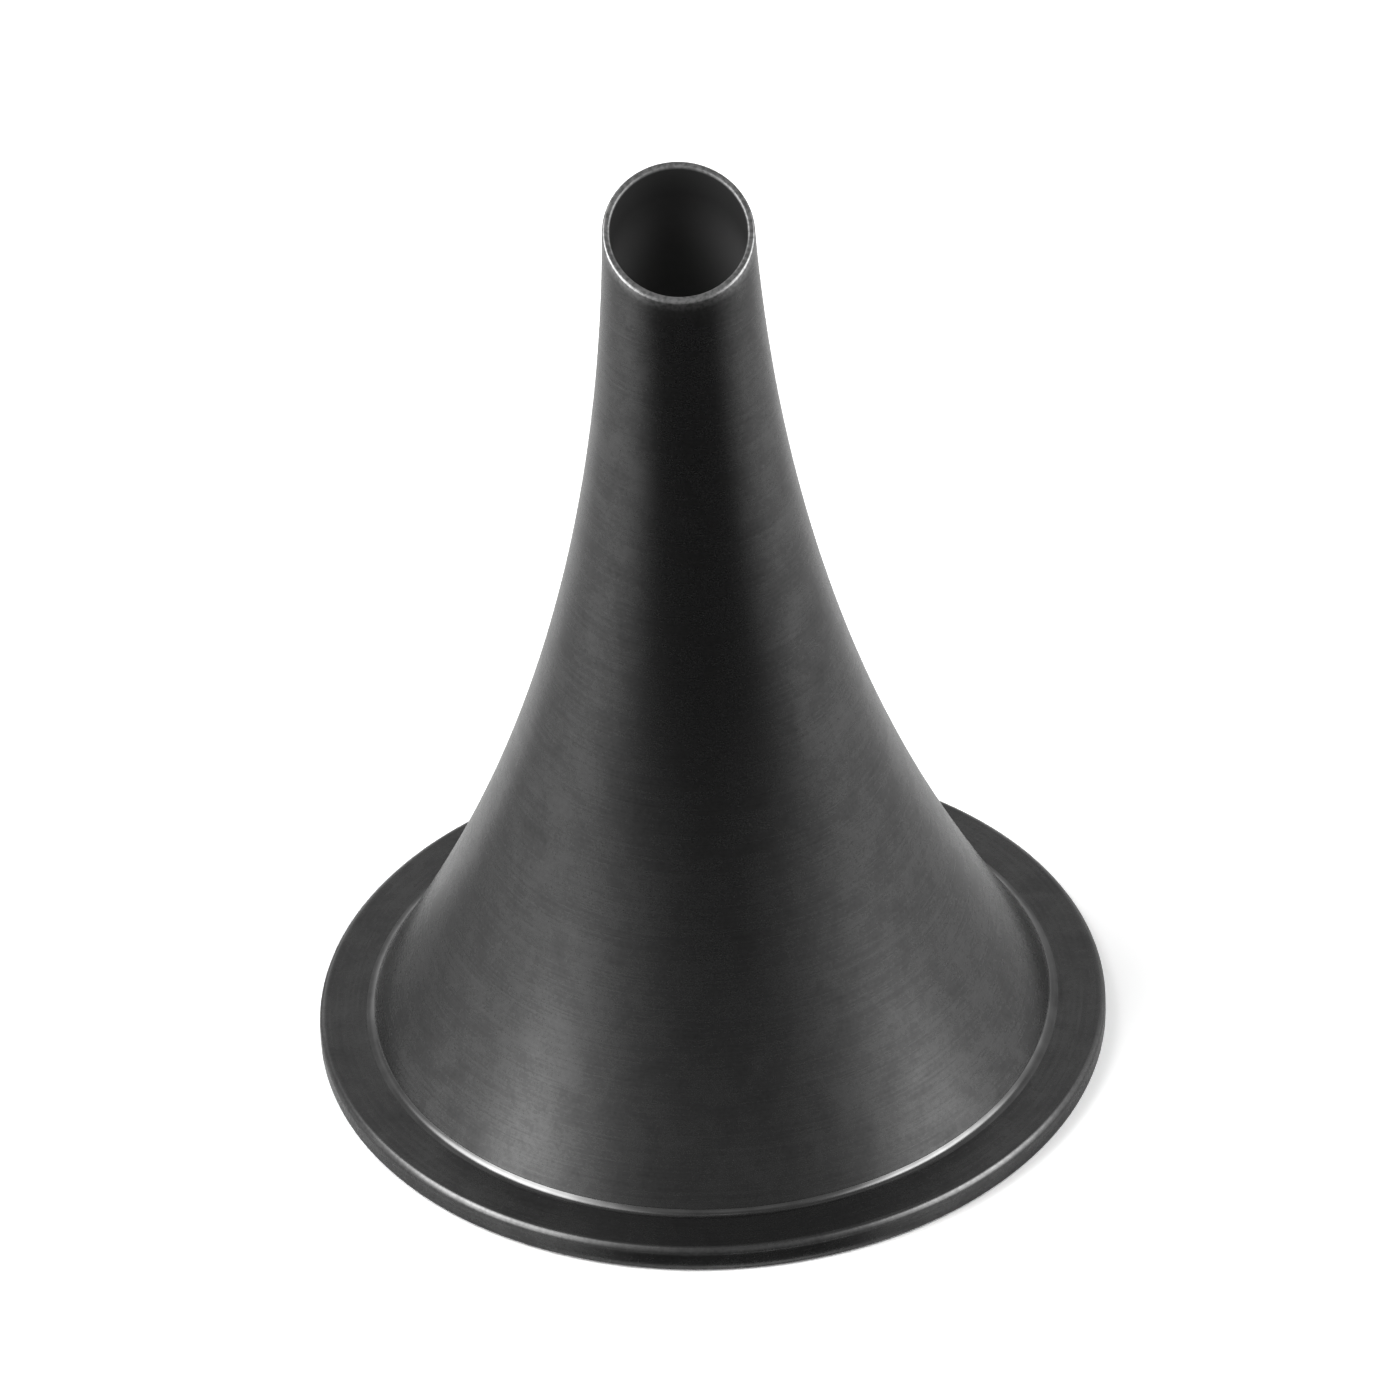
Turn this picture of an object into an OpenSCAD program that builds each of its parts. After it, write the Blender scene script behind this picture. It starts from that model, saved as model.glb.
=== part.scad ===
// Ear speculum: a trumpet-shaped sheet-metal funnel in a flat round flange.
// It stands on the flange, wide end down. Z runs up the axis of the funnel, the origin is the centre
// of the circle that the rim rests on, and the high side of the slanted mouth is at +Y.
// Lengths are in millimetres and angles in degrees.

/* [Sheet] */
// Thickness of the sheet that the funnel and the flange are made of
sheet_t = 0.28; // [0.2:0.01:0.4]

/* [Funnel] */
// Height of the middle of the slanted mouth above the table
mouth_h = 36.15; // [30:0.05:45]
// Slant of the mouth, from level
mouth_slant = 24; // [0:0.5:40]
// Outside diameter at the very tip
tip_d = 5.4; // [4.4:0.1:7]
// Slant of the tip's wall, from the axis
tip_angle = 1.5; // [0:0.1:5]
// Length of the curve's handle at the tip: the longer it is, the slimmer the neck
tip_handle = 19.6; // [12:0.1:24]
// Slant of the bell's wall where it meets the flange, from the axis
bell_angle = 30; // [15:0.5:45]
// Length of the curve's handle at the bell: the longer it is, the fuller the bell
bell_handle = 6.1; // [3:0.1:12]
// Inside radius of the bend where the bell turns out under the flange
bend_r = 0.08; // [0.04:0.01:0.3]
// Gap between the edge of the turned-out foot, which lies under the flange, and the folded rim
foot_clear = 0.25; // [0.05:0.01:0.4]
// Rounding of the foot's lower edge
foot_edge_r = 0.1; // [0.02:0.01:0.2]

/* [Flange] */
// Outside diameter of the flange
flange_d = 30; // [24:0.1:40]
// Width of the flange, from its outer edge to the hole that the bell comes up through
flange_w = 1.85; // [1.75:0.05:3]
// Rounding of the rim's upper outer corner, where the sheet turns down
rim_corner_r = 0.3; // [0.1:0.01:0.45]
// Rounding of the two lower corners of the rim
rim_foot_r = 0.2; // [0.05:0.01:0.3]
// Gap between the raw edge of the fold and the sheet above it
fold_gap = 0.03; // [0.01:0.01:0.08]

/* [Rim wire] */
// Diameter of the wire inside the folded rim
wire_d = 0.42; // [0.3:0.01:0.8]
// Clearance round the wire
wire_clear = 0.01; // [0:0.005:0.03]

/* [Hidden] */

$fn = 96;
curve_steps = 36;
bend_steps = 5;
solder_steps = 8;
solder_first_step = 2;
edge_steps = 4;
cut_margin = 0.2;

tip_r = tip_d / 2;
flange_r = flange_d / 2;
hole_r = flange_r - flange_w;

// The fold holds the wire between two thicknesses of sheet, and it is as high as it is wide
wire_room = wire_d + 2 * wire_clear;
rim_h = wire_room + 2 * sheet_t;
rim_w = rim_h;
foot_r = flange_r - rim_w - foot_clear;

// The flange is level with the top of the rim, and the foot lies against its underside
leaf_z = rim_h - sheet_t;
foot_z = leaf_z - sheet_t;

// The bend ends under the edge of the hole, and the bell's wall runs straight up from it
bend_centre = [hole_r, leaf_z + bend_r];
bend_sweep = 90 - bell_angle;
wall_start = on_circle(bend_centre, bend_r, 180 + bell_angle);
wall_at_top = wall_start[0] - (rim_h - wall_start[1]) * tan(bell_angle);

// The solder's hollow surface runs from the edge of the hole to the wall and is smooth with both
solder_r = (hole_r - wall_at_top) / tan(bend_sweep / 2);
solder_centre = [hole_r, rim_h + solder_r];

// The rest of the funnel's outline is one cubic curve, from there to just above the mouth's high side
curve_top_z = mouth_h + tip_r * tan(mouth_slant) + cut_margin;
curve_foot = on_circle(solder_centre, solder_r, 180 + bell_angle);
curve_tip = [tip_r, curve_top_z];
bell_pull = curve_foot + bell_handle * [-sin(bell_angle), cos(bell_angle)];
tip_pull = curve_tip + tip_handle * [sin(tip_angle), -cos(tip_angle)];

function on_circle(centre, radius, angle) = centre + radius * [cos(angle), sin(angle)];

// Point and direction of the outer curve at u, which runs from 0 at the bell to 1 at the tip
function curve_point(u) = pow(1 - u, 3) * curve_foot + 3 * pow(1 - u, 2) * u * bell_pull
    + 3 * (1 - u) * pow(u, 2) * tip_pull + pow(u, 3) * curve_tip;
function curve_slope(u) = pow(1 - u, 2) * (bell_pull - curve_foot)
    + 2 * (1 - u) * u * (tip_pull - bell_pull) + pow(u, 2) * (curve_tip - tip_pull);

// The same curve moved inwards by a depth, square to the wall
function curve_inside(u, depth) = let (slope = curve_slope(u))
    curve_point(u) + depth * [-slope[1], slope[0]] / norm(slope);

// Points round a hollow corner, from the level side to the bell's wall
function corner_points(centre, radius, steps, first = 0) = [for (i = [first:steps])
    on_circle(centre, radius, 270 - i * bend_sweep / steps)];

function backwards(points) = [for (i = [len(points) - 1:-1:0]) points[i]];

// Points round the foot's lower edge, from below to its side
function foot_edge_points() = [for (i = [0:edge_steps])
    on_circle([foot_r - foot_edge_r, foot_z + foot_edge_r], foot_edge_r, 270 + i * 90 / edge_steps)];

// Section of the funnel: in along the foot, up the outside to the tip, and down the inside
function funnel_section() = concat(
    [[foot_r, leaf_z]],
    corner_points(bend_centre, bend_r, bend_steps),
    [for (i = [0:curve_steps]) curve_point(i / curve_steps)],
    [for (i = [curve_steps:-1:0]) curve_inside(i / curve_steps, sheet_t)],
    backwards(corner_points(bend_centre, bend_r + sheet_t, bend_steps)),
    foot_edge_points()
);

// Everything above the slanted plane of the mouth
module above_mouth() {
    reach = flange_d;
    translate([0, 0, mouth_h])
        rotate([mouth_slant, 0, 0])
            translate([-reach, -reach, 0])
                cube([2 * reach, 2 * reach, reach]);
}

// Funnel: one piece of sheet spun to a trumpet, cut off at a slant, its foot turned out under the flange
module funnel() {
    color([0.17, 0.17, 0.18])
        difference() {
            rotate_extrude() polygon(funnel_section());
            above_mouth();
        }
}

// Section of the folded rim without its hollow: a square with three rounded corners
module rim_outline() {
    inner_r = flange_r - rim_w;
    difference() {
        translate([inner_r, 0]) square([rim_w, rim_h]);
        corner_waste([flange_r, rim_h], rim_corner_r, [-1, -1]);
        corner_waste([flange_r, 0], rim_foot_r, [-1, 1]);
        corner_waste([inner_r, 0], rim_foot_r, [1, 1]);
    }
}

// What rounding takes off a square corner: inward gives the way from the corner into the square
module corner_waste(corner, radius, inward) {
    translate(corner)
        difference() {
            translate([min(0, inward[0] * radius), min(0, inward[1] * radius)]) square(radius);
            translate(inward * radius) circle(r = radius);
        }
}

// Flange ring: flat sheet with a hole in the middle, its outer edge turned down and folded round
// the wire until the raw edge comes up under the sheet again
module flange_ring() {
    hollow_r = flange_r - rim_w + sheet_t;
    color([0.20, 0.20, 0.21])
        rotate_extrude()
            difference() {
                union() {
                    translate([hole_r, leaf_z])
                        square([hollow_r - hole_r, sheet_t]);
                    rim_outline();
                }
                translate([hollow_r, sheet_t]) square(wire_room);
                translate([flange_r - rim_w, leaf_z - fold_gap]) square([2 * sheet_t, fold_gap]);
            }
}

// Rim wire: a ring of round wire closed inside the fold
module rim_wire() {
    color([0.55, 0.55, 0.56])
        rotate_extrude()
            translate([flange_r - sheet_t - wire_room / 2, sheet_t + wire_room / 2])
                circle(d = wire_d);
}

// Solder seam: fills the groove between the bell and the edge of the hole, and is wiped hollow on top
module solder_seam() {
    hollow = backwards(corner_points(solder_centre, solder_r, solder_steps));
    surface = [for (i = [solder_first_step:solder_steps]) hollow[i]];
    top_z = surface[0][1];
    on_wall = [wall_at_top - (top_z - rim_h) * tan(bell_angle), top_z];
    color([0.35, 0.35, 0.36])
        rotate_extrude()
            polygon(concat(corner_points(bend_centre, bend_r, bend_steps), [on_wall], surface));
}

funnel();
flange_ring();
rim_wire();
solder_seam();
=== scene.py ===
"""Ear speculum: a trumpet-shaped funnel of blackened sheet metal on a flat flange, seen as in the photograph.

Lengths are in metres and angles in radians. Z runs up the axis of the funnel, and the high side of its
slanted mouth is at +Y. The piece is put together from the mouth down: funnel, flange, solder and wire.
"""
import math

import bmesh
import bpy
from mathutils import Matrix, Vector


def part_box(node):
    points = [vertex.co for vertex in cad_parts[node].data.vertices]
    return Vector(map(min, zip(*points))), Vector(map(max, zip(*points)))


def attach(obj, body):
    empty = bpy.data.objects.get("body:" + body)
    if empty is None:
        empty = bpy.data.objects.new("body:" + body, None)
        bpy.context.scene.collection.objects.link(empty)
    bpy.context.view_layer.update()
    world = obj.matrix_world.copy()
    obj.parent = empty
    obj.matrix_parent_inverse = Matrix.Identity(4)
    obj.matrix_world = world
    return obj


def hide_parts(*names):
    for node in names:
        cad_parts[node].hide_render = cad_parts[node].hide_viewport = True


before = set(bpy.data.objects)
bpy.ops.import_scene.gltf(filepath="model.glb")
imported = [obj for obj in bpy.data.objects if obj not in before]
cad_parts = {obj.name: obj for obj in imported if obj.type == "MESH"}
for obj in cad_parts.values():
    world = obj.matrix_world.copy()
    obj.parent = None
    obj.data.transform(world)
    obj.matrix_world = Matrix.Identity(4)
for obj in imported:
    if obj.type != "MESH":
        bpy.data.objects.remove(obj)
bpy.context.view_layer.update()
MM = 0.001

# Camera: a long lens well above the piece, turned and tilted by hand, so the axis leans a little to the
# left in the picture. It looks at the axis at 15 mm, where the bell begins to open.
LOOK_AT = Vector((0.034, 0, 15.105)) * MM
CAMERA_DISTANCE = 334.99 * MM
CAMERA_HEIGHT_ANGLE = math.radians(36.806)
CAMERA_HEADING = math.radians(-2.207)
CAMERA_ROLL = math.radians(-2.516)
LENS_MM = 231.43


def direction(side_angle, height_angle):
    """Direction from the piece: side angles run from the front, -Y, to the right."""
    return Vector((
        math.sin(side_angle) * math.cos(height_angle),
        -math.cos(side_angle) * math.cos(height_angle),
        math.sin(height_angle),
    ))


def linked(name, data):
    """A new object with this data, linked to the scene."""
    thing = bpy.data.objects.new(name, data)
    bpy.context.collection.objects.link(thing)
    return thing


camera = linked("camera", bpy.data.cameras.new("camera"))
camera.data.lens = LENS_MM
camera.data.sensor_width = 36
camera.data.clip_start = 0.01
camera.data.clip_end = 10
towards = direction(CAMERA_HEADING, CAMERA_HEIGHT_ANGLE)
upright = towards.to_track_quat("Z", "Y").to_matrix().to_4x4()
camera.matrix_world = (
    Matrix.Translation(LOOK_AT + CAMERA_DISTANCE * towards) @ upright @ Matrix.Rotation(CAMERA_ROLL, 4, "Z")
)
bpy.context.scene.camera = camera


# Funnel: one round of thin sheet spun over a former into a trumpet, and sawn off at a slant. Its lower end
# is turned out and lapped under the flange. It was rubbed round the axis with fine abrasive on the lathe
# and then chemically blackened.
SHEET = 0.28 * MM
MOUTH_HEIGHT = 36.15 * MM
MOUTH_SLANT = math.radians(24)
TIP_RADIUS = 2.7 * MM
TIP_ANGLE = math.radians(1.5)
TIP_HANDLE = 19.6 * MM
BELL_ANGLE = math.radians(30)
BELL_HANDLE = 6.1 * MM
HOLE_RADIUS = 13.15 * MM
BEND_RADIUS = 0.08 * MM
FOOT_EDGE_RADIUS = 0.1 * MM
LIP_RADIUS = 0.09 * MM
ABOVE_MOUTH = 0.2 * MM
STEPS_AROUND = 320

# The bell's wall ends in a small bend under the edge of the flange's hole. The solder's hollow surface
# runs from that edge to the wall, and the curve of the trumpet starts where it meets the wall.
foot_low, foot_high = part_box("funnel")
rim_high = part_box("flange_ring")[1]
bell_upward = Vector((-math.sin(BELL_ANGLE), 0, math.cos(BELL_ANGLE)))
bell_outward = Vector((math.cos(BELL_ANGLE), 0, math.sin(BELL_ANGLE)))
bend_sweep = math.pi / 2 - BELL_ANGLE
foot_top = foot_low.z + SHEET
bend_middle = Vector((HOLE_RADIUS, 0, foot_top + BEND_RADIUS))
wall_start = bend_middle - BEND_RADIUS * bell_outward
wall_at_rim_top = wall_start.x - (rim_high.z - wall_start.z) * math.tan(BELL_ANGLE)
solder_radius = (HOLE_RADIUS - wall_at_rim_top) / math.tan(bend_sweep / 2)
solder_middle = Vector((HOLE_RADIUS, 0, rim_high.z + solder_radius))
curve_start = solder_middle - solder_radius * bell_outward
curve_end = Vector((TIP_RADIUS, 0, MOUTH_HEIGHT + TIP_RADIUS * math.tan(MOUTH_SLANT) + ABOVE_MOUTH))
tip_downward = Vector((math.sin(TIP_ANGLE), 0, -math.cos(TIP_ANGLE)))


def add(tree, kind, inputs=None, **settings):
    """Adds a node, gives it its settings, and sets its inputs or links them to other nodes."""
    node = tree.nodes.new(kind)
    for name, value in settings.items():
        setattr(node, name, value)
    for key, value in (inputs or {}).items():
        if isinstance(value, bpy.types.Node):
            value = value.outputs[0]
        if isinstance(value, bpy.types.NodeSocket):
            tree.links.new(value, node.inputs[key])
        else:
            node.inputs[key].default_value = value
    return node


def linear(hex_colour):
    """An sRGB hex colour as a linear RGBA colour."""
    parts = [int(hex_colour[i:i + 2], 16) / 255 for i in (1, 3, 5)]
    return [p / 12.92 if p <= 0.04045 else ((p + 0.055) / 1.055) ** 2.4 for p in parts] + [1.0]


def emptied(block):
    """The node tree of a material, lamp or world, without its nodes."""
    block.use_nodes = True
    block.node_tree.nodes.clear()
    return block.node_tree


def round_parts(tree):
    """The Object coordinates x, y and z, and the distance from the axis."""
    place = add(tree, "ShaderNodeTexCoord").outputs["Object"]
    x, y, z = add(tree, "ShaderNodeSeparateXYZ", {0: place}).outputs
    flat = add(tree, "ShaderNodeCombineXYZ", {0: x, 1: y})
    return x, y, z, add(tree, "ShaderNodeVectorMath", {0: flat}, operation="LENGTH").outputs["Value"]


def streak_place(tree, length, width):
    """Where to read a noise so that it is this long round the axis and this wide across."""
    x, y, z, radius = round_parts(tree)
    across = add(tree, "ShaderNodeMath", {0: z, 1: radius}, operation="SUBTRACT")
    return add(tree, "ShaderNodeVectorMath", {
        0: add(tree, "ShaderNodeCombineXYZ", {0: x, 1: y, 2: across}),
        1: (1 / length, 1 / length, 1 / width),
    }, operation="MULTIPLY")


# Chemically blackened sheet, a dark oxide skin on metal rubbed with fine abrasive. It looks satin and a
# little cloudy, with hair lines round the axis, a few pale specks, and greyer metal where edges have worn.
# The grain and hair lines of such a rub are finer than the render can show, so they are drawn coarser.
CLOUD_WIDTH = 1.3 * MM
DRIFT_WIDTH = 5 * MM
GRAIN_WIDTH = 0.14 * MM
HAIR_LENGTH, HAIR_WIDTH = 5 * MM, 0.12 * MM
SPECK_SPACING, SPECK_RADIUS = 1.1 * MM, 0.045 * MM
SKIN_RELIEF = 0.002 * MM
TONE_WEIGHTS = (0.6, 0.12, 0.4, 0.3)
DARKEST_TONE, PALEST_TONE = 0.44, 0.98


def blackened_sheet():
    """The finish of bell and flange. It reads the mesh's marks for wear and the inside, and the mark that
    paints light deep inside the tube.
    """
    material = bpy.data.materials.new("satin_blackened_sheet")
    tree = emptied(material)
    place = add(tree, "ShaderNodeTexCoord").outputs["Object"]

    # Hair lines run round the axis, side by side up the wall and out over the flange
    hair = add(tree, "ShaderNodeTexNoise", {
        "Vector": streak_place(tree, HAIR_LENGTH, HAIR_WIDTH), "Scale": 1, "Detail": 2, "Roughness": 0.6,
    })
    cloud = add(tree, "ShaderNodeTexNoise", {
        "Vector": place, "Scale": 1 / CLOUD_WIDTH, "Detail": 3, "Roughness": 0.6, "Distortion": 0.4,
    })
    drift = add(tree, "ShaderNodeTexNoise", {"Vector": place, "Scale": 1 / DRIFT_WIDTH, "Detail": 1})
    grain = add(tree, "ShaderNodeTexNoise", {"Vector": place, "Scale": 1 / GRAIN_WIDTH, "Detail": 1})
    tone = 0.0
    for pattern, weight in zip((cloud, drift, hair, grain), TONE_WEIGHTS):
        tone = add(tree, "ShaderNodeMath", {0: pattern, 1: weight, 2: tone}, operation="MULTIPLY_ADD")
    tone = add(tree, "ShaderNodeMapRange", {
        "Value": tone, "From Min": DARKEST_TONE, "From Max": PALEST_TONE,
    })
    skin = add(tree, "ShaderNodeMix", {0: tone, 6: linear("#464646"), 7: linear("#646464")}, data_type="RGBA")
    skin_rough = add(tree, "ShaderNodeMapRange", {"Value": tone, "To Min": 0.31, "To Max": 0.24})

    # Specks of dust and small pits that caught the light
    cells = add(tree, "ShaderNodeTexVoronoi", {"Vector": place, "Scale": 1 / SPECK_SPACING})
    chosen = add(tree, "ShaderNodeMath", {0: cells.outputs["Color"], 1: 0.72}, operation="GREATER_THAN")
    speck = add(tree, "ShaderNodeMapRange", {
        "Value": cells.outputs["Distance"],
        "From Min": 0.3 * SPECK_RADIUS / SPECK_SPACING, "From Max": SPECK_RADIUS / SPECK_SPACING,
        "To Min": 0.6, "To Max": 0.0,
    })
    speck = add(tree, "ShaderNodeMath", {0: speck, 1: chosen}, operation="MULTIPLY")
    specked = add(tree, "ShaderNodeMix", {
        0: speck, 6: skin.outputs[2], 7: linear("#8a8a8a"),
    }, data_type="RGBA")

    # Worn edges are greyer and smoother, in broken patches
    worn = add(tree, "ShaderNodeAttribute", attribute_name="worn").outputs["Fac"]
    patches = add(tree, "ShaderNodeMapRange", {
        "Value": grain, "From Min": 0.35, "From Max": 0.6, "To Min": 0.5,
    })
    worn = add(tree, "ShaderNodeMath", {0: worn, 1: patches}, operation="MULTIPLY")
    outer = add(tree, "ShaderNodeMix", {
        0: worn, 6: specked.outputs[2], 7: linear("#929292"),
    }, data_type="RGBA")
    outer_rough = add(tree, "ShaderNodeMix", {0: worn, 2: skin_rough, 3: 0.36})

    # The inside was never rubbed, so its skin is dull and scatters more than it reflects. Deeper down the
    # tube
    # its colour turns paler: painted light, where little of the lamps' light reaches.
    inside = add(tree, "ShaderNodeAttribute", attribute_name="inside").outputs["Fac"]
    deep_painted_light = add(tree, "ShaderNodeAttribute", attribute_name="deep_painted_light").outputs["Fac"]
    dull_with_painted_light = add(tree, "ShaderNodeMix", {
        0: deep_painted_light, 6: linear("#303030"), 7: linear("#8c8c8c"),
    }, data_type="RGBA")
    colour = add(tree, "ShaderNodeMix", {
        0: inside, 6: outer.outputs[2], 7: dull_with_painted_light.outputs[2],
    }, data_type="RGBA")
    rough = add(tree, "ShaderNodeMix", {0: inside, 2: outer_rough, 3: 0.6})
    metal = add(tree, "ShaderNodeMapRange", {"Value": inside, "To Min": 0.95, "To Max": 0.3})
    relief = add(tree, "ShaderNodeMath", {0: hair, 1: 0.5, 2: grain}, operation="MULTIPLY_ADD")
    bump = add(tree, "ShaderNodeBump", {"Height": relief, "Strength": 0.12, "Distance": SKIN_RELIEF})
    shader = add(tree, "ShaderNodeBsdfPrincipled", {
        "Base Color": colour.outputs[2], "Metallic": metal, "Roughness": rough, "Normal": bump,
    })
    add(tree, "ShaderNodeOutputMaterial", {"Surface": shader})
    return material


satin_black = blackened_sheet()

# The tree that spins the funnel. Its outer face is four stretches of curve, from the foot's edge under the
# flange up to the tip. A grid is wrapped round the axis: its rows run up the outside, over the rounded lip,
# down the inside and round the foot's edge, and the last row closes on the first.
PROFILE_RESOLUTION = 400
SOLVER_STEPS = 4
MERGE = 1e-6
OUTSIDE_FOOT, OUTSIDE_BEND, OUTSIDE_WALL, LIP_OUT, LIP_FLAT, LIP_IN = range(6)
INSIDE_WALL, INSIDE_BEND, INSIDE_FOOT, FOOT_EDGE, FOOT_SIDE = range(6, 11)
ROWS = (2, 6, 112, 6, 2, 6, 74, 8, 2, 5, 1)

foot_edge = Vector((foot_high.x, 0, foot_top))
foot_bend = Vector((HOLE_RADIUS, 0, foot_top))
bend_pull = BEND_RADIUS * 4 / 3 * math.tan(bend_sweep / 4)
profile = {
    "Foot": (foot_edge, (foot_bend - foot_edge) / 3, (foot_edge - foot_bend) / 3, foot_bend),
    "Bend": (foot_bend, Vector((-bend_pull, 0, 0)), -bend_pull * bell_upward, wall_start),
    "Straight": (wall_start, (curve_start - wall_start) / 3, (wall_start - curve_start) / 3, curve_start),
    "Curve": (curve_start, BELL_HANDLE * bell_upward, TIP_HANDLE * tip_downward, curve_end),
}
spin = bpy.data.node_groups.new("spun_funnel", "GeometryNodeTree")
spin.is_modifier = True
funnel_sizes = {
    "Sheet": SHEET,
    "Mouth height": MOUTH_HEIGHT,
    "Mouth slant": MOUTH_SLANT,
    "Lip radius": LIP_RADIUS,
    "Foot length": foot_high.x - HOLE_RADIUS,
    "Foot edge radius": FOOT_EDGE_RADIUS,
    "Bend length": BEND_RADIUS * bend_sweep,
}
for name in funnel_sizes:
    spin.interface.new_socket(name, in_out="INPUT", socket_type="NodeSocketFloat")
for stretch, points in profile.items():
    for ending, point in zip(("start", "start handle", "end handle", "end"), points):
        spin.interface.new_socket(f"{stretch} {ending}", in_out="INPUT", socket_type="NodeSocketVector")
        funnel_sizes[f"{stretch} {ending}"] = point
spin.interface.new_socket("Steps around", in_out="INPUT", socket_type="NodeSocketInt")
spin.interface.new_socket("Finish", in_out="INPUT", socket_type="NodeSocketMaterial")
spin.interface.new_socket("Geometry", in_out="OUTPUT", socket_type="NodeSocketGeometry")
given = add(spin, "NodeGroupInput").outputs

# A join takes its last link first, so the stretches are linked from the tip to the foot
outline = add(spin, "GeometryNodeJoinGeometry")
for stretch in reversed(profile):
    segment = add(spin, "GeometryNodeCurvePrimitiveBezierSegment", {
        "Resolution": PROFILE_RESOLUTION,
        "Start": given[f"{stretch} start"],
        "Start Handle": given[f"{stretch} start handle"],
        "End Handle": given[f"{stretch} end handle"],
        "End": given[f"{stretch} end"],
    }, mode="OFFSET")
    spin.links.new(segment.outputs[0], outline.inputs[0])

row_ends = [0]
for rows in ROWS:
    row_ends.append(row_ends[-1] + rows)
grid = add(spin, "GeometryNodeMeshGrid", {
    "Size X": 2 * math.pi,
    "Size Y": row_ends[-1],
    "Vertices X": add(spin, "ShaderNodeMath", {0: given["Steps around"], 1: 1}, operation="ADD"),
    "Vertices Y": row_ends[-1] + 1,
})
where = add(spin, "ShaderNodeSeparateXYZ", {0: add(spin, "GeometryNodeInputPosition")})
angle = where.outputs["X"]
row = add(spin, "ShaderNodeMath", {0: where.outputs["Y"], 1: row_ends[-1] / 2}, operation="ADD")


def over_rows(stretch, to_max):
    """Rises from 0 to to_max over one stretch of the rows."""
    return add(spin, "ShaderNodeMapRange", {
        "Value": row, "From Min": row_ends[stretch], "From Max": row_ends[stretch + 1], "To Max": to_max,
    })


def total(*terms):
    """Sum of (factor, value) terms."""
    so_far = 0.0
    for factor, value in terms:
        so_far = add(spin, "ShaderNodeMath", {0: value, 1: factor, 2: so_far}, operation="MULTIPLY_ADD")
    return so_far


# How deep under the outer face a row lies, how far it is below the mouth's plane, and how far along the
# outline it lies, as a length near the foot and as a share of the way to the mouth above it
edge_radius = given["Foot edge radius"]
lip_out_turn = over_rows(LIP_OUT, math.pi / 2)
lip_in_turn = over_rows(LIP_IN, math.pi / 2)
edge_turn = over_rows(FOOT_EDGE, math.pi / 2)
lip_flat = total((1, given["Sheet"]), (-2, given["Lip radius"]))
edge_side = total((1, given["Sheet"]), (-1, edge_radius))
lip_across = total(
    (1, 1),
    (-1, add(spin, "ShaderNodeMath", {0: lip_out_turn}, operation="COSINE")),
    (1, add(spin, "ShaderNodeMath", {0: lip_in_turn}, operation="SINE")),
)
lip_down = total(
    (2, 1),
    (-1, add(spin, "ShaderNodeMath", {0: lip_out_turn}, operation="SINE")),
    (-1, add(spin, "ShaderNodeMath", {0: lip_in_turn}, operation="COSINE")),
)
edge_across = total((1, 1), (-1, add(spin, "ShaderNodeMath", {0: edge_turn}, operation="COSINE")))
depth = total(
    (given["Lip radius"], lip_across),
    (1, over_rows(LIP_FLAT, lip_flat)),
    (-1, add(spin, "ShaderNodeMath", {0: edge_radius, 1: edge_across}, operation="MULTIPLY")),
    (-1, over_rows(FOOT_SIDE, edge_side)),
)
drop = add(spin, "ShaderNodeMath", {0: given["Lip radius"], 1: lip_down}, operation="MULTIPLY")
edge_inset = add(spin, "ShaderNodeMath", {
    0: edge_radius, 1: add(spin, "ShaderNodeMath", {0: edge_turn}, operation="SINE"),
}, operation="MULTIPLY")
near_foot = total(
    (1, over_rows(OUTSIDE_FOOT, given["Foot length"])),
    (1, over_rows(OUTSIDE_BEND, given["Bend length"])),
    (-1, over_rows(INSIDE_BEND, given["Bend length"])),
    (-1, over_rows(INSIDE_FOOT, total((1, given["Foot length"]), (-1, edge_radius)))),
    (-1, edge_inset),
)
up_wall = total((1, over_rows(OUTSIDE_WALL, 1)), (-1, over_rows(INSIDE_WALL, 1)))


def on_outline(length):
    """Direction up the outline at a length along it, and the point at this row's depth under it."""
    at = add(spin, "GeometryNodeSampleCurve", {
        "Curves": outline, "Length": length,
    }, mode="LENGTH", use_all_curves=True)
    inward = add(spin, "ShaderNodeVectorMath", {
        0: at.outputs["Tangent"], 1: (0, 1, 0),
    }, operation="CROSS_PRODUCT")
    point = add(spin, "ShaderNodeVectorMath", {
        0: inward, 1: depth, 2: at.outputs["Position"],
    }, operation="MULTIPLY_ADD")
    return at.outputs["Tangent"], point


# The slanted plane of the mouth is met by a few steps along the outline
slant = add(spin, "ShaderNodeMath", {0: given["Mouth slant"]}, operation="TANGENT")
facing = add(spin, "ShaderNodeMath", {0: angle}, operation="SINE")
tilt = add(spin, "ShaderNodeMath", {0: facing, 1: slant}, operation="MULTIPLY")
mouth_normal = add(spin, "ShaderNodeCombineXYZ", {"X": total((-1, tilt)), "Z": 1.0})
mouth_level = total((1, given["Mouth height"]), (-1, drop))
mouth_length = add(spin, "GeometryNodeCurveLength", {0: outline})
for _ in range(SOLVER_STEPS):
    upward, point = on_outline(mouth_length)
    level = add(spin, "ShaderNodeVectorMath", {0: point, 1: mouth_normal}, operation="DOT_PRODUCT")
    rise = add(spin, "ShaderNodeVectorMath", {0: upward, 1: mouth_normal}, operation="DOT_PRODUCT")
    miss = add(spin, "ShaderNodeMath", {
        0: total((1, level.outputs["Value"]), (-1, mouth_level)), 1: rise.outputs["Value"],
    }, operation="DIVIDE")
    mouth_length = total((1, mouth_length), (-1, miss))
bend_top = total((1, given["Foot length"]), (1, given["Bend length"]))
above_bend = total((1, mouth_length), (-1, bend_top))
length = total((1, near_foot), (up_wall, above_bend))
upward, point = on_outline(length)
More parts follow.
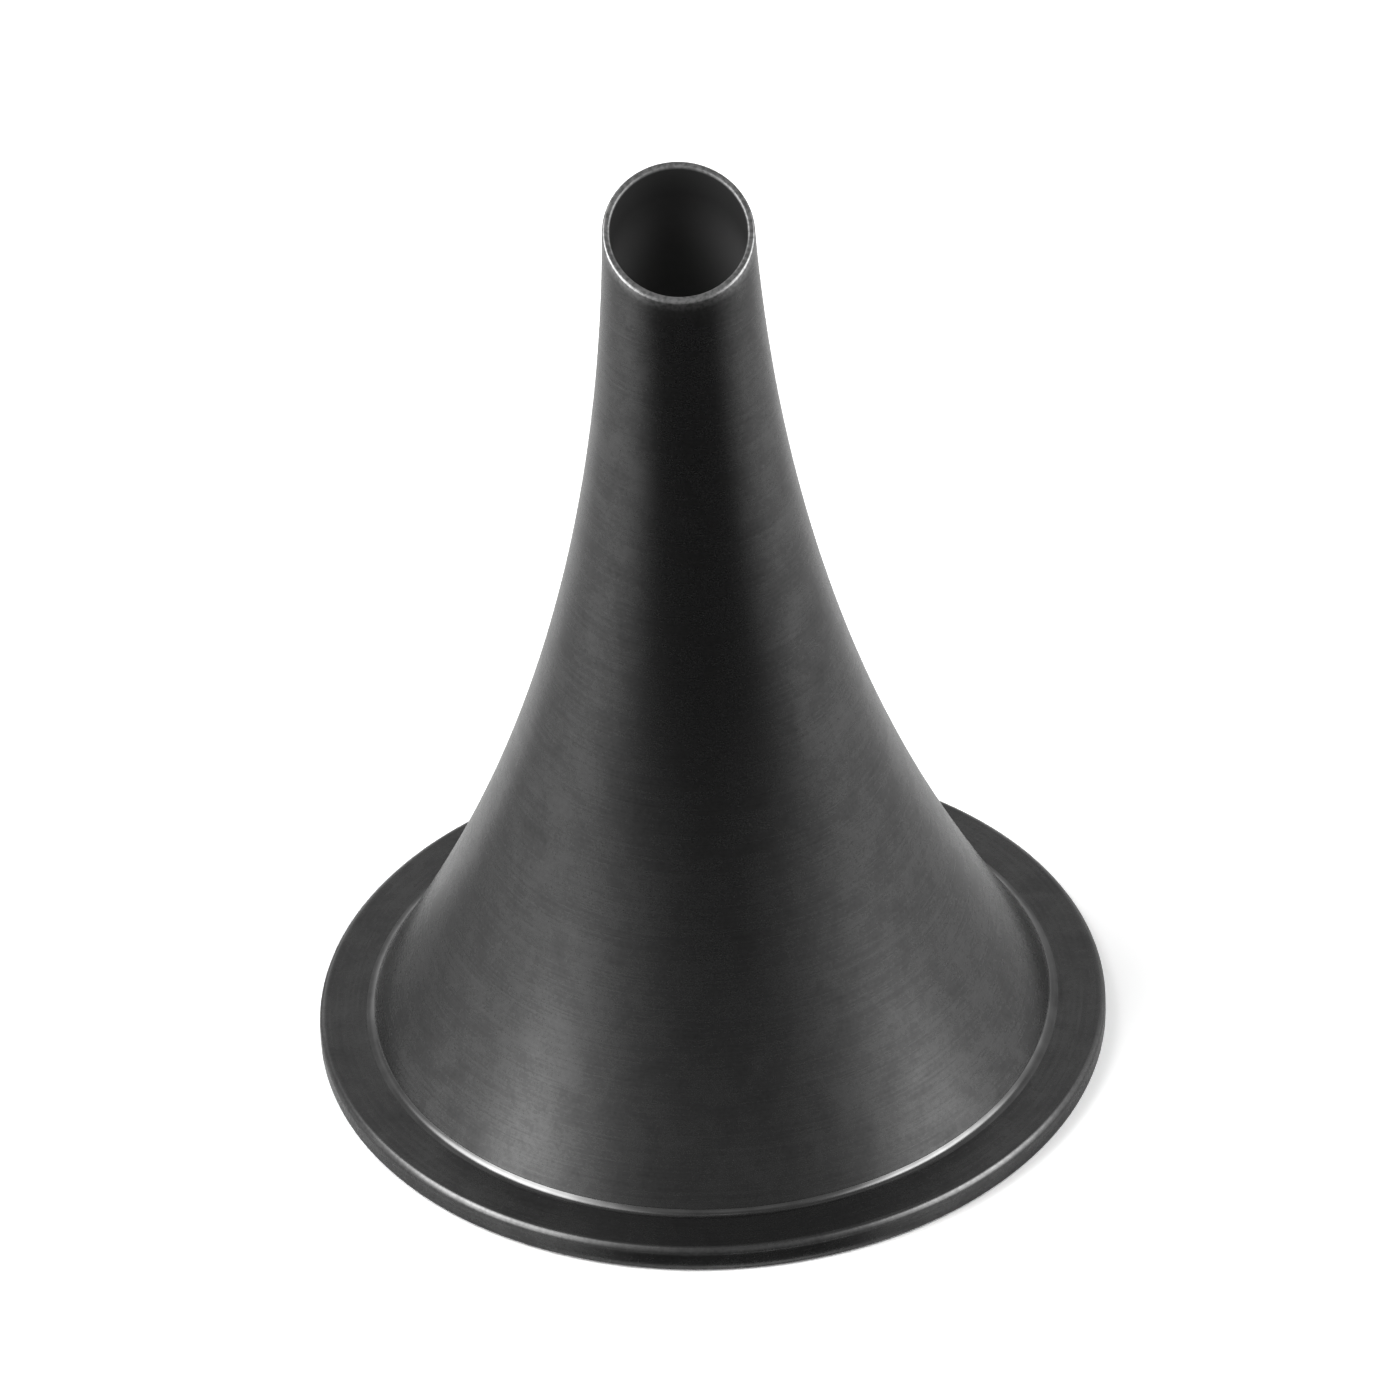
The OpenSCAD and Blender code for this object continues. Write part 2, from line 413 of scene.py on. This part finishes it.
turned = add(spin, "ShaderNodeVectorRotate", {"Vector": point, "Angle": angle}, rotation_type="Z_AXIS")

# Marks for the finish: the inside, the worn lip that fades along the wall, and the depth below the mouth,
# over which the inside's colour turns paler as painted light
LIP_FADE = 0.35 * MM
PAINTED_LIGHT_FROM, PAINTED_LIGHT_TO = 1.2 * MM, 6 * MM
below_mouth = total((1, mouth_length), (-1, length))
whole = grid
for mark, share in (
    ("inside", over_rows(LIP_IN, 1)),
    ("worn", add(spin, "ShaderNodeMapRange", {
        "Value": below_mouth, "From Max": LIP_FADE, "To Min": 1.0, "To Max": 0.0,
    })),
    # Painted light: the inside turns paler from this depth below the mouth downwards
    ("deep_painted_light", add(spin, "ShaderNodeMapRange", {
        "Value": below_mouth, "From Min": PAINTED_LIGHT_FROM, "From Max": PAINTED_LIGHT_TO,
    })),
):
    whole = add(spin, "GeometryNodeStoreNamedAttribute", {
        "Geometry": whole, "Name": mark, "Value": share,
    }, data_type="FLOAT", domain="POINT")
whole = add(spin, "GeometryNodeSetPosition", {"Geometry": whole, "Position": turned})
whole = add(spin, "GeometryNodeMergeByDistance", {"Geometry": whole, "Distance": MERGE})
whole = add(spin, "GeometryNodeSetShadeSmooth", {"Geometry": whole})
whole = add(spin, "GeometryNodeRealizeInstances", {"Geometry": whole})
whole = add(spin, "GeometryNodeSetMaterial", {"Geometry": whole, "Material": given["Finish"]})
add(spin, "NodeGroupOutput", {0: whole})


def made_solid(name, tree, values):
    """A plain mesh object made by a tree with these values, its faces pointing outwards."""
    maker = linked(name + "_maker", bpy.data.meshes.new(name + "_maker"))
    modifier = maker.modifiers.new("maker", "NODES")
    modifier.node_group = tree
    for item in tree.interface.items_tree:
        if item.in_out == "INPUT":
            modifier[item.identifier] = values[item.name]
    evaluated = maker.evaluated_get(bpy.context.evaluated_depsgraph_get())
    mesh = bpy.data.meshes.new_from_object(evaluated)
    bpy.data.objects.remove(maker)
    shape = bmesh.new()
    shape.from_mesh(mesh)
    bmesh.ops.recalc_face_normals(shape, faces=shape.faces)
    shape.to_mesh(mesh)
    shape.free()
    mesh.name = name
    return linked(name, mesh)


funnel = made_solid("spun_funnel", spin, {
    **funnel_sizes, "Steps around": STEPS_AROUND, "Finish": satin_black,
})
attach(funnel, "root")
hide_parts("funnel")

# Flange: a flat ring of the same sheet with a hole in the middle. Its edge is turned down and folded
# round a wire until the raw edge comes up under the sheet again, so the rim is thick and safe to hold.
# It has the funnel's finish, rubbed round the axis and blackened.
RIM_CORNER_RADIUS = 0.3 * MM
RIM_FOOT_RADIUS = 0.2 * MM
RAW_EDGE_RADIUS = 0.05 * MM
FOLD_GAP = 0.03 * MM
SHADE_STEP = 0.03 * MM
CORNER_WEAR, WEAR_INSET = 0.12, 0.1 * MM

rim_radius = rim_high.x
rim_height = rim_high.z
fold_radius = rim_radius - rim_height
leaf_height = rim_height - SHEET


def round_corner(middle, radius, start, end, steps=10):
    """Points of a round corner in the section, from one angle in degrees to another."""
    turns = [math.radians(start + (end - start) * i / steps) for i in range(steps + 1)]
    return [(middle[0] + radius * math.cos(a), middle[1] + radius * math.sin(a)) for a in turns]


def joined(*stretches):
    """One section from its corners. Points close to the ends of a straight stretch keep its shading flat."""
    points = []
    for i, stretch in enumerate(stretches):
        points += stretch
        end = Vector(stretch[-1])
        run = Vector(stretches[(i + 1) % len(stretches)][0]) - end
        if run.length > 3 * SHADE_STEP:
            near = run.normalized() * SHADE_STEP
            points += [tuple(end + near), tuple(end + run - near)]
    return points


def spun(name, section, steps=STEPS_AROUND):
    """A closed ring whose section is a loop of (radius, height) points."""
    shape = bmesh.new()
    rings = []
    for i in range(steps):
        turn = 2 * math.pi * i / steps
        rings.append([shape.verts.new((r * math.cos(turn), r * math.sin(turn), z)) for r, z in section])
    for one, two in zip(rings, rings[1:] + rings[:1]):
        for j in range(len(section)):
            k = (j + 1) % len(section)
            shape.faces.new((one[j], two[j], two[k], one[k]))
    bmesh.ops.recalc_face_normals(shape, faces=shape.faces)
    mesh = bpy.data.meshes.new(name)
    shape.to_mesh(mesh)
    shape.free()
    mesh.shade_smooth()
    return linked(name, mesh)


raw_top = leaf_height - FOLD_GAP - RAW_EDGE_RADIUS
corner_middle = (rim_radius - RIM_CORNER_RADIUS, rim_height - RIM_CORNER_RADIUS)
rim_section = joined(
    [(HOLE_RADIUS, rim_height)],
    round_corner(corner_middle, RIM_CORNER_RADIUS, 90, 0, 14),
    round_corner((rim_radius - RIM_FOOT_RADIUS, RIM_FOOT_RADIUS), RIM_FOOT_RADIUS, 0, -90),
    round_corner((fold_radius + RIM_FOOT_RADIUS, RIM_FOOT_RADIUS), RIM_FOOT_RADIUS, -90, -180),
    round_corner((fold_radius + RAW_EDGE_RADIUS, raw_top), RAW_EDGE_RADIUS, 180, 90, 4),
    round_corner((fold_radius + SHEET - RAW_EDGE_RADIUS, raw_top), RAW_EDGE_RADIUS, 90, 0, 4),
    [(fold_radius + SHEET, SHEET)],
    [(rim_radius - SHEET, SHEET)],
    [(rim_radius - SHEET, leaf_height)],
    [(HOLE_RADIUS, leaf_height)],
)
flange = spun("folded_flange", rim_section)
flange.data.materials.append(satin_black)
worn = flange.data.attributes.new("worn", "FLOAT", "POINT")
for i, vert in enumerate(flange.data.vertices):
    out = math.hypot(vert.co.x, vert.co.y) - corner_middle[0]
    over = vert.co.z - corner_middle[1]
    worn.data[i].value = CORNER_WEAR if min(out, over) > WEAR_INSET else 0.0
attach(flange, "root")
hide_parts("flange_ring")

# Solder seam: soft solder run round the joint between bell and flange from above and wiped hollow while
# it was soft, with a thin edge left on the flange. It was blackened with the rest, but its skin is thinner,
# greyer and smoother than the sheet's.
WALL_OVERLAP = 0.04 * MM
THIN_EDGE_WIDTH, THIN_EDGE_HEIGHT, THIN_EDGE_DEPTH = 0.05 * MM, 0.003 * MM, 0.03 * MM
WIPE_LENGTH, WIPE_WIDTH = 2.5 * MM, 0.2 * MM
BLOTCH_WIDTH = 0.9 * MM
WIPE_RELIEF = 0.002 * MM

hollow_middle = (HOLE_RADIUS, rim_height + THIN_EDGE_HEIGHT + solder_radius)
solder_section = joined(
    [(HOLE_RADIUS + 2 * THIN_EDGE_WIDTH, rim_height - THIN_EDGE_HEIGHT)],
    [(HOLE_RADIUS + THIN_EDGE_WIDTH, rim_height)],
    round_corner(hollow_middle, solder_radius, 270, 180 + math.degrees(BELL_ANGLE), 12),
    [(wall_start.x - WALL_OVERLAP, wall_start.z)],
    [(HOLE_RADIUS, foot_top)],
    [(HOLE_RADIUS, rim_height - THIN_EDGE_DEPTH)],
    [(HOLE_RADIUS + 2 * THIN_EDGE_WIDTH, rim_height - THIN_EDGE_DEPTH)],
)
solder = spun("wiped_solder_seam", solder_section)


def blackened_solder():
    """The finish of the seam: satin grey-black, a little streaky round the axis from the wiping."""
    material = bpy.data.materials.new("blackened_soft_solder")
    tree = emptied(material)
    place = add(tree, "ShaderNodeTexCoord").outputs["Object"]
    wipe = add(tree, "ShaderNodeTexNoise", {
        "Vector": streak_place(tree, WIPE_LENGTH, WIPE_WIDTH), "Scale": 1, "Detail": 1,
    })
    blotch = add(tree, "ShaderNodeTexNoise", {"Vector": place, "Scale": 1 / BLOTCH_WIDTH, "Detail": 2})
    tone = add(tree, "ShaderNodeMath", {0: wipe, 1: 0.5, 2: blotch}, operation="MULTIPLY_ADD")
    tone = add(tree, "ShaderNodeMapRange", {"Value": tone, "From Min": 0.5, "From Max": 1.0})
    colour = add(tree, "ShaderNodeMix", {
        0: tone, 6: linear("#626262"), 7: linear("#787878"),
    }, data_type="RGBA")
    bump = add(tree, "ShaderNodeBump", {"Height": wipe, "Strength": 0.2, "Distance": WIPE_RELIEF})
    shader = add(tree, "ShaderNodeBsdfPrincipled", {
        "Base Color": colour.outputs[2],
        "Metallic": 1.0,
        "Roughness": add(tree, "ShaderNodeMapRange", {"Value": tone, "To Min": 0.22, "To Max": 0.17}),
        "Normal": bump,
    })
    add(tree, "ShaderNodeOutputMaterial", {"Surface": shader})
    return material


solder.data.materials.append(blackened_solder())
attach(solder, "root")
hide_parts("solder_seam")

# Rim wire: a ring of drawn steel wire, round and bright, which the flange's edge is folded about and which
# makes the rim stiff. Nothing of it shows, and its CAD mesh is kept.
DRAW_LENGTH, DRAW_WIDTH = 3 * MM, 0.06 * MM

wire_low, wire_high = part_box("rim_wire")
wire_ring_radius = wire_high.x - (wire_high.z - wire_low.z) / 2


def drawn_steel():
    """The finish of the wire: bright grey steel with fine lines along it from the drawing."""
    material = bpy.data.materials.new("drawn_steel_wire")
    tree = emptied(material)
    x, y, z, radius = round_parts(tree)
    line_place = add(tree, "ShaderNodeVectorMath", {
        0: add(tree, "ShaderNodeCombineXYZ", {
            0: add(tree, "ShaderNodeMath", {0: y, 1: x}, operation="ARCTAN2"), 1: radius, 2: z,
        }),
        1: (wire_ring_radius / DRAW_LENGTH, 1 / DRAW_WIDTH, 1 / DRAW_WIDTH),
    }, operation="MULTIPLY")
    lines = add(tree, "ShaderNodeTexNoise", {"Vector": line_place, "Scale": 1, "Detail": 1})
    colour = add(tree, "ShaderNodeMix", {
        0: lines, 6: linear("#8f8f8f"), 7: linear("#a8a8a8"),
    }, data_type="RGBA")
    shader = add(tree, "ShaderNodeBsdfPrincipled", {
        "Base Color": colour.outputs[2],
        "Metallic": 1.0,
        "Roughness": add(tree, "ShaderNodeMapRange", {"Value": lines, "To Min": 0.4, "To Max": 0.28}),
    })
    add(tree, "ShaderNodeOutputMaterial", {"Surface": shader})
    return material


wire_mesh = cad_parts["rim_wire"].data
wire_mesh.materials.clear()
wire_mesh.materials.append(drawn_steel())

# Studio: a white paper floor under a plain white sky, and a tall soft box leaning in at each side
FLOOR_REACH, FLOOR_LEVEL = 3000 * MM, -0.01 * MM
PAPER_TONE, PAPER_MIRRORED, PAPER_IN_PICTURE = 0.62, 0.66, 1.34

floor_mesh = bpy.data.meshes.new("floor")
corners = [
    (x * FLOOR_REACH, y * FLOOR_REACH, FLOOR_LEVEL) for x, y in ((-1, -1), (1, -1), (1, 1), (-1, 1))
]
floor_mesh.from_pydata(corners, [], [(0, 1, 2, 3)])
floor = linked("floor", floor_mesh)


def seen_directly(tree):
    """1 for the rays that see a background: camera, glossy and transmission rays, and otherwise 0."""
    path = add(tree, "ShaderNodeLightPath").outputs
    seen = add(tree, "ShaderNodeMath", {
        0: path["Is Camera Ray"], 1: path["Is Glossy Ray"],
    }, operation="MAXIMUM")
    return add(tree, "ShaderNodeMath", {0: seen, 1: path["Is Transmission Ray"]}, operation="MAXIMUM")


paper = bpy.data.materials.new("white_paper")
tree = emptied(paper)
mirrored_tone = add(tree, "ShaderNodeMix", {0: seen_directly(tree), 2: PAPER_TONE, 3: PAPER_MIRRORED})
camera_ray = add(tree, "ShaderNodeLightPath").outputs["Is Camera Ray"]
paper_tone = add(tree, "ShaderNodeMix", {0: camera_ray, 2: mirrored_tone, 3: PAPER_IN_PICTURE})
add(tree, "ShaderNodeOutputMaterial", {
    "Surface": add(tree, "ShaderNodeBsdfDiffuse", {"Color": paper_tone}),
})
floor_mesh.materials.append(paper)

# Each soft box has its place and lean in degrees, its width and height in mm, and its radiance. A hot place,
# also in degrees, is brighter by a gain, and from a share of the way out the box fades to its edges.
AIM = Vector((0, 0, 15 * MM))
LAMP_DISTANCE = 400 * MM
HOT_RADIUS = 210 * MM
SIDE_FADE, END_FADE = 0.12, 0.5
for name, side_angle, height_angle, lean, width, height, radiance, hot_side, hot_height, hot_gain in (
    ("left_soft_box", -78.5, 42, 40, 470, 660, 4.3, -93, 48, 1.95),
    ("right_soft_box", 77.4, 36, -29.6, 440, 500, 3.85, 88, 50, 1.75),
):
    lamp = bpy.data.lights.new(name, "AREA")
    lamp.shape = "RECTANGLE"
    lamp.size = width * MM
    lamp.size_y = height * MM
    lamp.energy = radiance * math.pi * lamp.size * lamp.size_y
    tree = emptied(lamp)
    hot_place = AIM + LAMP_DISTANCE * direction(math.radians(hot_side), math.radians(hot_height))
    from_hot = add(tree, "ShaderNodeVectorMath", {
        0: add(tree, "ShaderNodeNewGeometry").outputs["Position"], 1: hot_place,
    }, operation="DISTANCE")
    strength = add(tree, "ShaderNodeMapRange", {
        "Value": from_hot.outputs["Value"], "From Max": HOT_RADIUS, "To Min": hot_gain, "To Max": 1.0,
    }, interpolation_type="SMOOTHSTEP")
    parts = add(tree, "ShaderNodeSeparateXYZ", {
        0: add(tree, "ShaderNodeNewGeometry").outputs["Parametric"],
    })
    for part, fade in ((parts.outputs["X"], SIDE_FADE), (parts.outputs["Y"], END_FADE)):
        off_middle = add(tree, "ShaderNodeMath", {0: part, 1: 2, 2: -1}, operation="MULTIPLY_ADD")
        near_edge = add(tree, "ShaderNodeMath", {0: off_middle}, operation="ABSOLUTE")
        soft = add(tree, "ShaderNodeMapRange", {
            "Value": near_edge, "From Min": fade, "From Max": 1, "To Min": 1, "To Max": 0,
        }, interpolation_type="SMOOTHSTEP")
        strength = add(tree, "ShaderNodeMath", {0: strength, 1: soft}, operation="MULTIPLY")
    add(tree, "ShaderNodeOutputLight", {0: add(tree, "ShaderNodeEmission", {"Strength": strength})})
    box_direction = direction(math.radians(side_angle), math.radians(height_angle))
    placed = Matrix.Translation(AIM + LAMP_DISTANCE * box_direction)
    facing_piece = box_direction.to_track_quat("Z", "Y").to_matrix().to_4x4()
    leaning = Matrix.Rotation(math.radians(lean), 4, "Z")
    linked(name, lamp).matrix_world = placed @ facing_piece @ leaning

# Black cloth with soft edges, hung in front of the piece and over it, and laid on the floor in front. The
# piece reflects it as the dark band down its middle, and the bits laid by the rim and towards the back are
# painted shadow. The camera doesn't see it and it throws no shadow.
CLOTH_REACH = 600 * MM
CLOTH_TONE = 0.01


def eased(value, start, end):
    """Falls smoothly from 1 at the start to 0 at the end."""
    share = min(max((value - start) / (end - start), 0), 1)
    return 1 - share * share * (3 - 2 * share)


cloth_shape = bmesh.new()
cover = cloth_shape.verts.layers.float.new("cover")


def hang_cloth(rows):
    """Adds rows of (point, cover) as a sheet."""
    made = []
    for row_points in rows:
        made.append([])
        for point, share in row_points:
            vert = cloth_shape.verts.new(point)
            vert[cover] = share
            made[-1].append(vert)
    for lower, upper in zip(made, made[1:]):
        for i in range(len(lower) - 1):
            cloth_shape.faces.new((lower[i], lower[i + 1], upper[i + 1], upper[i]))


# Angles are in degrees. The front cloth and the strips behind are thickest up to the inner side angle from
# their middle and gone at the outer one, and they thin out from the low height angle to the high one. The
# cloths over the top thicken from low to high. A cover is the share that a cloth hides at its thickest, and
# the strips give their middle, inner and outer angle and cover.
ALL_ROUND = range(-180, 181, 3)
FRONT_MIDDLE = 1.4
FRONT_INNER, FRONT_OUTER = 8.3, 91.5
FRONT_LOW, FRONT_HIGH = -1, 59
TOP_LOW, TOP_HIGH, TOP_COVER = 0, 46, 0.6
ZENITH_LOW, ZENITH_HIGH, ZENITH_COVER = 50, 75, 0.6
BACK_STRIPS = ((-125, 6, 24, 0.6), (140, 6, 24, 0.45))
BACK_LOW, BACK_HIGH = 12, 38
dome = []
for height_angle in range(0, 90, 3):
    ring = []
    for side_angle in ALL_ROUND:
        front = eased(abs(side_angle - FRONT_MIDDLE), FRONT_INNER, FRONT_OUTER)
        front *= eased(height_angle, FRONT_LOW, FRONT_HIGH)
        bare = 1 - front
        bare *= 1 - TOP_COVER * (1 - eased(height_angle, TOP_LOW, TOP_HIGH))
        bare *= 1 - ZENITH_COVER * (1 - eased(height_angle, ZENITH_LOW, ZENITH_HIGH))
        for middle, inner, outer, most in BACK_STRIPS:
            strip = eased(abs(side_angle - middle), inner, outer) * eased(height_angle, BACK_LOW, BACK_HIGH)
            bare *= 1 - most * strip
        point = AIM + CLOTH_REACH * direction(math.radians(side_angle), math.radians(height_angle))
        ring.append((point, 1 - bare))
    dome.append(ring)
hang_cloth(dome)

# The floor's cloth is wide in front, where it thickens from near to far. It also lies close to the rim in
# the very front and in two thin patches towards the back: these are painted shadow, standing in for the
# shade on the floor by the rim and for the piece's own shadow, as the piece reflects them. They thin out from
# near to far. Near and far are distances from the axis in mm, and the cloth's height is in mm too.
LAID_HEIGHT = 0.1
LAID_DISTANCES = (15.2, 18, 20, 22, 24, 30, 34, 37, 40, 43, 46, 50, 53, 56, 100, 200, 600)
FLOOR_INNER, FLOOR_OUTER, FLOOR_NEAR, FLOOR_FAR = 32.5, 89, 34, 46
RIM_SHADE_INNER, RIM_SHADE_OUTER, RIM_SHADE_NEAR, RIM_SHADE_FAR, RIM_SHADE_COVER = 12, 36, 18, 24, 0.9
SHADOW_PATCHES = ((-112, 8, 22, 0.5), (112, 6, 18, 0.1))
SHADOW_PATCH_NEAR, SHADOW_PATCH_FAR = 42, 56
laid = []
for distance in LAID_DISTANCES:
    ring = []
    for side_angle in ALL_ROUND:
        front = eased(abs(side_angle - FRONT_MIDDLE), FLOOR_INNER, FLOOR_OUTER)
        bare = 1 - front * (1 - eased(distance, FLOOR_NEAR, FLOOR_FAR))
        # Painted shadow: the dark floor close to the rim in front
        painted_rim_shade = eased(abs(side_angle), RIM_SHADE_INNER, RIM_SHADE_OUTER) * eased(distance, RIM_SHADE_NEAR, RIM_SHADE_FAR)
        bare *= 1 - RIM_SHADE_COVER * painted_rim_shade
        # Painted shadow: the piece's own shadow on the floor towards the back
        for middle, inner, outer, most in SHADOW_PATCHES:
            painted_shadow_patch = eased(abs(side_angle - middle), inner, outer) * eased(distance, SHADOW_PATCH_NEAR, SHADOW_PATCH_FAR)
            bare *= 1 - most * painted_shadow_patch
        point = distance * direction(math.radians(side_angle), 0) + Vector((0, 0, LAID_HEIGHT))
        ring.append((point * MM, 1 - bare))
    laid.append(ring)
hang_cloth(laid)
cloth_mesh = bpy.data.meshes.new("black_cloth_and_painted_shadow")
cloth_shape.to_mesh(cloth_mesh)
cloth_shape.free()
cloth = linked("black_cloth_and_painted_shadow", cloth_mesh)
velvet = bpy.data.materials.new("black_cloth_and_painted_shadow")
tree = emptied(velvet)
add(tree, "ShaderNodeOutputMaterial", {
    "Surface": add(tree, "ShaderNodeMixShader", {
        0: add(tree, "ShaderNodeAttribute", attribute_name="cover").outputs["Fac"],
        1: add(tree, "ShaderNodeBsdfTransparent"),
        2: add(tree, "ShaderNodeBsdfDiffuse", {"Color": (CLOTH_TONE, CLOTH_TONE, CLOTH_TONE, 1)}),
    }),
})
cloth_mesh.materials.append(velvet)
cloth.visible_camera = False
cloth.visible_diffuse = False
cloth.visible_shadow = False

# The room is white where it is seen, and gives the piece only a little light
ROOM_LIGHT = 0.08
world = bpy.data.worlds.new("studio")
bpy.context.scene.world = world
tree = emptied(world)
sky = add(tree, "ShaderNodeMix", {0: seen_directly(tree), 2: ROOM_LIGHT, 3: 1.0})
add(tree, "ShaderNodeOutputWorld", {
    "Surface": add(tree, "ShaderNodeBackground", {"Color": (1, 1, 1, 1), "Strength": sky}),
})

bpy.context.scene.view_settings.view_transform = "Standard"
